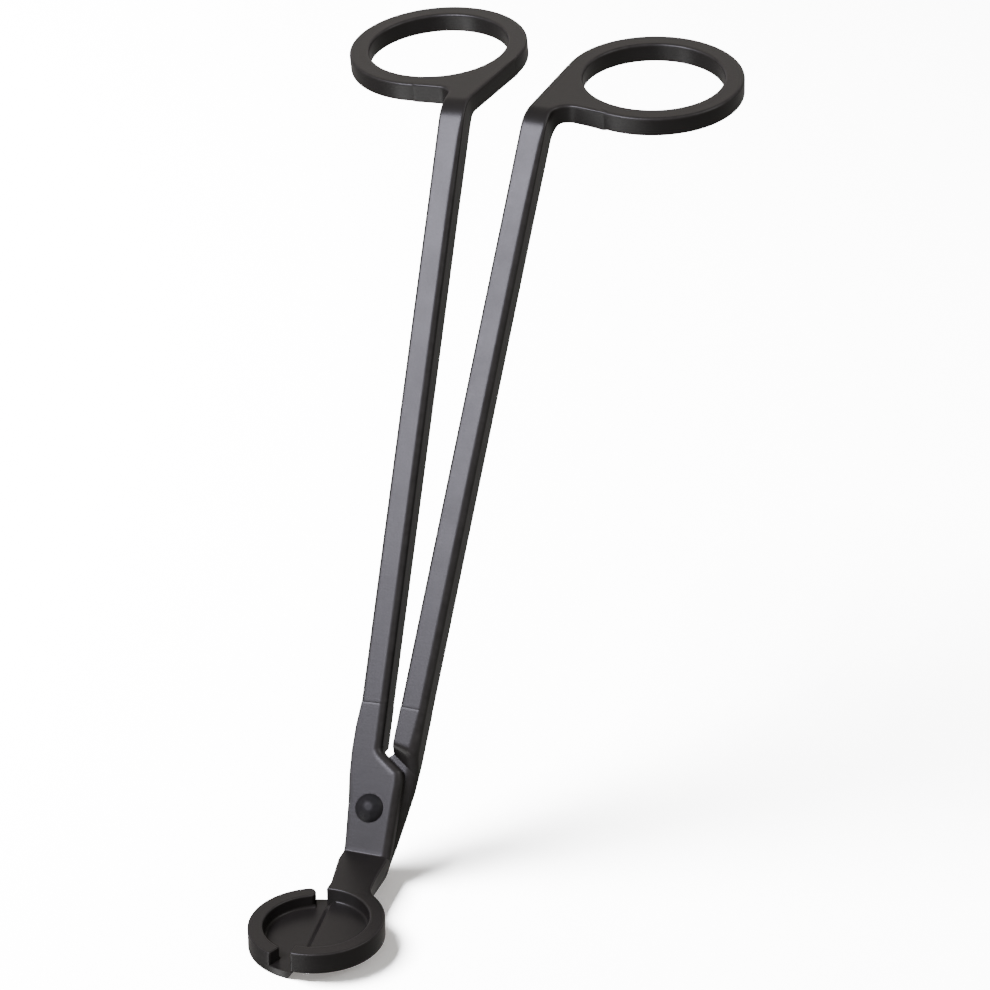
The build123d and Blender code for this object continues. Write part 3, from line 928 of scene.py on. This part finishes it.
def make_stage(finish):
    """A pale floor, soft lights and even light from all round.

    The key lights only the trimmer and the side light only the floor, so that the shadow's depth
    is set apart from the coating's shine.
    """
    half_size, drop = 4.0, 0.05 * MM
    mesh = bpy.data.meshes.new("floor")
    corners = np.array([(-1, -1), (1, -1), (1, 1), (-1, 1)]) * half_size
    ground = np.column_stack((corners, np.full(len(corners), -drop)))
    mesh.from_pydata(ground.tolist(), [], [(0, 1, 2, 3)])
    floor = new_object("floor", mesh)
    material, shader, add, join = new_material("Studio floor")
    place = add("TexCoord")
    paper = add("TexNoise", Scale=3.0, Detail=2.0)
    join(place, "Object", paper, "Vector")
    shade = add("MixRGB", Color1=(*finish.floor, 1.0), Color2=(0.9, 0.9, 0.9, 1.0))
    join(paper, "Fac", shade, "Fac")
    join(shade, "Color", shader, "Base Color")
    looks = {"Roughness": 0.9, "Emission Color": (1.0, 0.96, 0.91, 1.0),
             "Emission Strength": finish.glow, "Specular IOR Level": 0.0}
    for entry, value in looks.items():
        shader.inputs[entry].default_value = value
    mesh.materials.append(material)
    floor.visible_glossy = False
    floor.visible_diffuse = False

    target = PIVOT + np.array((0.0, 0.03, 0.04))
    key = soft_light("key", (-0.32, -0.61, 0.76), 0.9, 0.50, 0.30, finish.key, target)
    key.data.color = finish.key_tint
    trimmer = bpy.data.collections.new("trimmer")
    for piece in bpy.data.objects:
        if piece.name.endswith(COATED):
            trimmer.objects.link(piece)
    key.light_linking.receiver_collection = trimmer
    soft_light("fill", (0.75, 0.10, 0.65), 1.1, 0.5, 0.5, finish.fill, target)
    back = soft_light("back", (-0.28, 0.80, 0.53), 1.0, 0.9, 0.45, finish.back, target)
    back.data.color = finish.back_tint
    side = soft_light("side", (-0.66, -0.03, 0.75), 1.0, 0.52, 0.52, finish.side, target)
    ground_only = bpy.data.collections.new("floor light")
    ground_only.objects.link(floor)
    side.light_linking.receiver_collection = ground_only
    card = soft_light("front card", (-0.30, -0.88, -0.33), 0.6, 0.5, 0.2, finish.card, target)
    glint = soft_light("left card", (-0.52, -0.60, -0.60), 0.5, 0.14, 0.18, finish.glint, target)
    for low in (card, glint):
        low.visible_diffuse = False
        low.data.use_shadow = False
    world = bpy.data.worlds.new("Studio")
    bpy.context.scene.world = world
    world.use_nodes = True
    background = world.node_tree.nodes["Background"].inputs
    background["Color"].default_value = (1.0, 0.97, 0.93, 1.0)
    background["Strength"].default_value = finish.sky


def make_camera(view):
    """The camera on its line of sight: azimuth and elevation give the line, roll turns it."""
    azimuth, elevation = view.azimuth, view.elevation
    forward = Vector((-math.sin(azimuth) * math.cos(elevation),
                      math.cos(azimuth) * math.cos(elevation), -math.sin(elevation)))
    right = forward.cross(Vector((0, 0, 1))).normalized()
    up = right.cross(forward)
    right, up = (right * math.cos(view.roll) + up * math.sin(view.roll),
                 up * math.cos(view.roll) - right * math.sin(view.roll))
    data = bpy.data.cameras.new("camera")
    data.lens, data.sensor_width = view.lens, 36.0
    data.clip_start, data.clip_end = 0.01, 20.0
    camera = new_object("camera", data)
    place = Matrix((right, up, -forward)).transposed().to_4x4()
    place.translation = Vector(view.target) - forward * view.distance
    camera.matrix_world = place
    bpy.context.scene.camera = camera


# ---- operators ----
class TRIMMER_OT_handles(bpy.types.Operator):
    """Make both handles: shaft, top bend and finger ring"""

    bl_idname = "trimmer.handles"
    bl_label = "Handles"

    def execute(self, context):
        sizes = context.scene.trimmer_sizes
        make_handle(sizes, "front", sizes.front_bar, sizes.front_lean, front_web())
        make_handle(sizes, "back", sizes.back_bar, sizes.back_lean, back_web())
        return {"FINISHED"}


class TRIMMER_OT_upper_blade(bpy.types.Operator):
    """Make the upper blade: pivot plate, neck and half a tray"""

    bl_idname = "trimmer.upper_blade"
    bl_label = "Upper blade"

    def execute(self, context):
        make_upper_blade(context.scene.trimmer_sizes)
        return {"FINISHED"}


class TRIMMER_OT_lower_blade(bpy.types.Operator):
    """Make the lower blade: pivot plate, neck and half a tray"""

    bl_idname = "trimmer.lower_blade"
    bl_label = "Lower blade"

    def execute(self, context):
        make_lower_blade(context.scene.trimmer_sizes)
        return {"FINISHED"}


class TRIMMER_OT_rivet(bpy.types.Operator):
    """Make the rivet that both arms turn on"""

    bl_idname = "trimmer.rivet"
    bl_label = "Rivet"

    def execute(self, context):
        make_rivet(context.scene.trimmer_sizes)
        return {"FINISHED"}


class TRIMMER_OT_stage(bpy.types.Operator):
    """Make the floor, the lights and the camera"""

    bl_idname = "trimmer.stage"
    bl_label = "Stage"

    def execute(self, context):
        make_stage(context.scene.trimmer_finish)
        make_camera(context.scene.trimmer_view)
        return {"FINISHED"}


class TRIMMER_PT_panel(bpy.types.Panel):
    """Sidebar panel with the trimmer's pieces, sizes and finishes"""

    bl_label = "Wick Trimmer"
    bl_idname = "TRIMMER_PT_panel"
    bl_space_type = "VIEW_3D"
    bl_region_type = "UI"
    bl_category = "Trimmer"

    def draw(self, context):
        for operator in OPERATORS:
            self.layout.operator(operator.bl_idname)
        for group in GROUPS:
            holder = getattr(context.scene, group)
            box = self.layout.box()
            for name in holder.__annotations__:
                box.prop(holder, name)


OPERATORS = (TRIMMER_OT_handles, TRIMMER_OT_upper_blade, TRIMMER_OT_lower_blade, TRIMMER_OT_rivet,
             TRIMMER_OT_stage)
GROUPS = {"trimmer_sizes": TrimmerSizes, "trimmer_finish": TrimmerFinish,
          "trimmer_view": TrimmerView}


def register():
    for group in GROUPS.values():
        bpy.utils.register_class(group)
    for name, group in GROUPS.items():
        setattr(bpy.types.Scene, name, PointerProperty(type=group))
    for shown in OPERATORS + (TRIMMER_PT_panel,):
        bpy.utils.register_class(shown)


def unregister():
    for shown in (TRIMMER_PT_panel,) + OPERATORS[::-1]:
        bpy.utils.unregister_class(shown)
    for name, group in GROUPS.items():
        delattr(bpy.types.Scene, name)
        bpy.utils.unregister_class(group)


def main():
    """Make every piece and the stage."""
    register()
    bpy.ops.trimmer.handles()
    bpy.ops.trimmer.upper_blade()
    bpy.ops.trimmer.lower_blade()
    bpy.ops.trimmer.rivet()
    bpy.ops.trimmer.stage()


if __name__ == "__main__":
    main()
